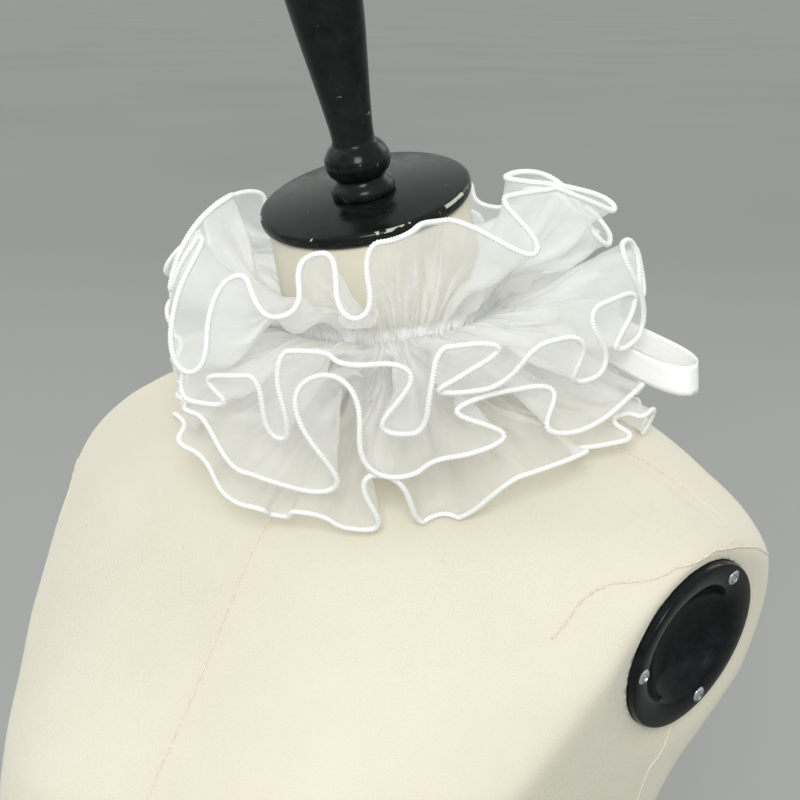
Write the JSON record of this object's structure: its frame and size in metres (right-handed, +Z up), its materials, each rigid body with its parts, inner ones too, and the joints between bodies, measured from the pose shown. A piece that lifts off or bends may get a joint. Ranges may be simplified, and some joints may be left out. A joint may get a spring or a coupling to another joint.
{
  "type": "detachable ruffled collar on a limbless dress form",
  "caption": "Sheer ruffled neck collar with edged frills, gathered to a ribbon tied behind the neck, shown on a limbless dress form with a capped neck.",
  "frame": {"origin": "a point on the dress form's flat underside, 30 mm in front of the middle of the neck cap", "axes": "+Z up, -Y to the form's front, +X to the form's left"},
  "size_m": [0.3972, 0.3628, 0.6342],
  "materials": {
    "organza": "sheer, soft sheen",
    "ribbon": "smooth satin",
    "jersey": "matt knit",
    "lacquer": "black gloss lacquer",
    "plate": "gloss"
  },
  "bodies": {
    "root": {"ruffle_upper": "organza", "ruffle_lower": "organza", "neck_band": "ribbon", "tie_knot": "ribbon", "bow_loop_left": "ribbon", "bow_loop_right": "ribbon", "tie_tail_left": "ribbon", "tie_tail_right": "ribbon", "form_body": "jersey", "arm_plate_left": "plate", "arm_plate_right": "plate", "neck_cap": "lacquer", "cap_finial": "lacquer"}
  },
  "joints": []
}
